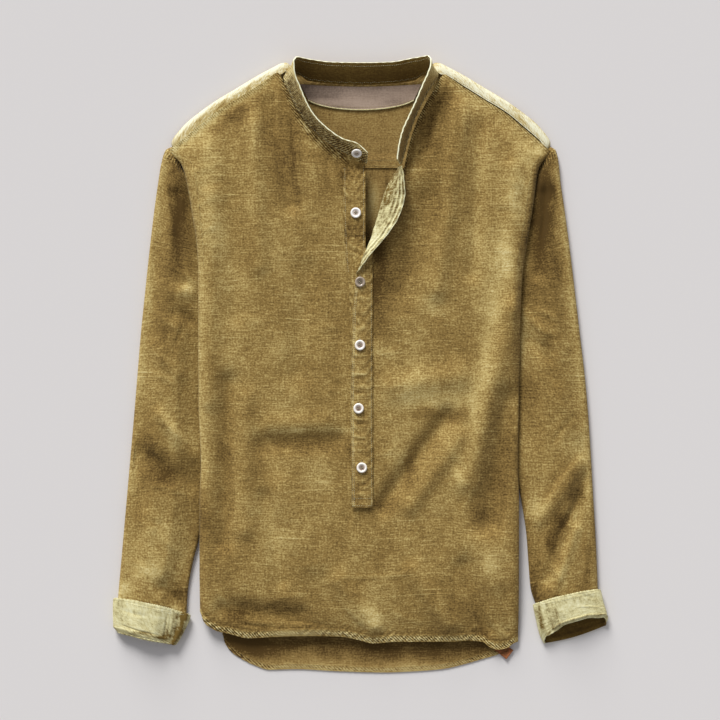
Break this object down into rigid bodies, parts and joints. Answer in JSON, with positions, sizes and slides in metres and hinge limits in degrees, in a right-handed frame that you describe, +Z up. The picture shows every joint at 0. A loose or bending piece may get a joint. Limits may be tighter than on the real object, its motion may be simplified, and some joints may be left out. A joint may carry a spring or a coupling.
{
  "type": "mandarin collar shirt",
  "caption": "Long-sleeved half-placket shirt with a standing band collar and turned-up cuffs, laid flat with its front up and the placket turned back at the neck.",
  "frame": {"origin": "middle of the footprint, on the surface that the shirt lies on", "axes": "+Z up off the surface, +Y from the hem to the collar, +X to the right of a viewer who looks down on the front with the collar at the top"},
  "size_m": [0.6002, 0.746, 0.042],
  "materials": {
    "linen": "slubby olive linen, matt",
    "linen_reverse": "pale reverse of the linen, matt",
    "facing": "smooth mauve grey cotton, matt",
    "button": "pearly, satin",
    "tab": "rust cotton tape, matt"
  },
  "bodies": {
    "root": {"front_panel": "linen", "back_panel": "linen", "back_yoke": "linen", "collar_band": "linen", "neck_facing": "facing", "placket_over": "linen", "placket_under": "linen", "sleeve_left": "linen", "sleeve_right": "linen", "cuff_left": "linen_reverse", "cuff_right": "linen_reverse", "button_1": "button", "button_2": "button", "button_3": "button", "button_4": "button", "button_5": "button", "button_6": "button", "side_tab": "tab"}
  },
  "joints": []
}
